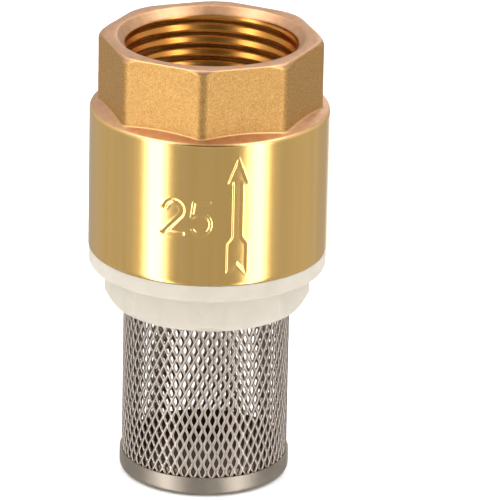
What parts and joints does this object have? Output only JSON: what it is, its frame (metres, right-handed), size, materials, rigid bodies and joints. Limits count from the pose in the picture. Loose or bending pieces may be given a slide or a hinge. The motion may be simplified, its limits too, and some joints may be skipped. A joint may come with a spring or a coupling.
{
  "type": "foot valve",
  "caption": "Spring-closed foot valve: brass body with a female pipe thread, nylon inlet collar and a closed cylindrical steel strainer.",
  "frame": {"origin": "centre of the strainer cap's underside", "axes": "+Z along the flow, from the strainer to the pipe thread; the flow arrow faces -Y"},
  "size_m": [0.0425, 0.0424, 0.0816],
  "materials": {
    "brass_body": "cast, turned on the skirt",
    "brass_inner": "turned",
    "nylon_white": "moulded, slightly translucent",
    "nbr_rubber": "moulded",
    "stainless_mesh": "expanded sheet",
    "stainless_sheet": "pressed sheet",
    "spring_steel": "drawn wire"
  },
  "bodies": {
    "valve": {"valve_body": "brass_body", "inlet_collar": "nylon_white", "body_seal": "nbr_rubber", "closing_spring": "spring_steel", "upper_guide": "nylon_white", "strainer_mesh": "stainless_mesh", "strainer_cap": "stainless_sheet", "strainer_floor": "stainless_sheet", "strainer_ring": "stainless_sheet"},
    "poppet": {"stem": "brass_inner", "poppet_disc": "nylon_white", "poppet_seal": "nbr_rubber", "seal_washer": "stainless_sheet", "lock_washer": "stainless_sheet", "stem_nut": "brass_inner"}
  },
  "joints": [
    {"name": "poppet_lift", "type": "slide", "parent": "valve", "child": "poppet", "axis": [0, 0, 1], "range_m": [0, 0.006], "stiffness_N_per_m": 230, "springref_m": -0.0039, "deforming": ["closing_spring"]}
  ]
}
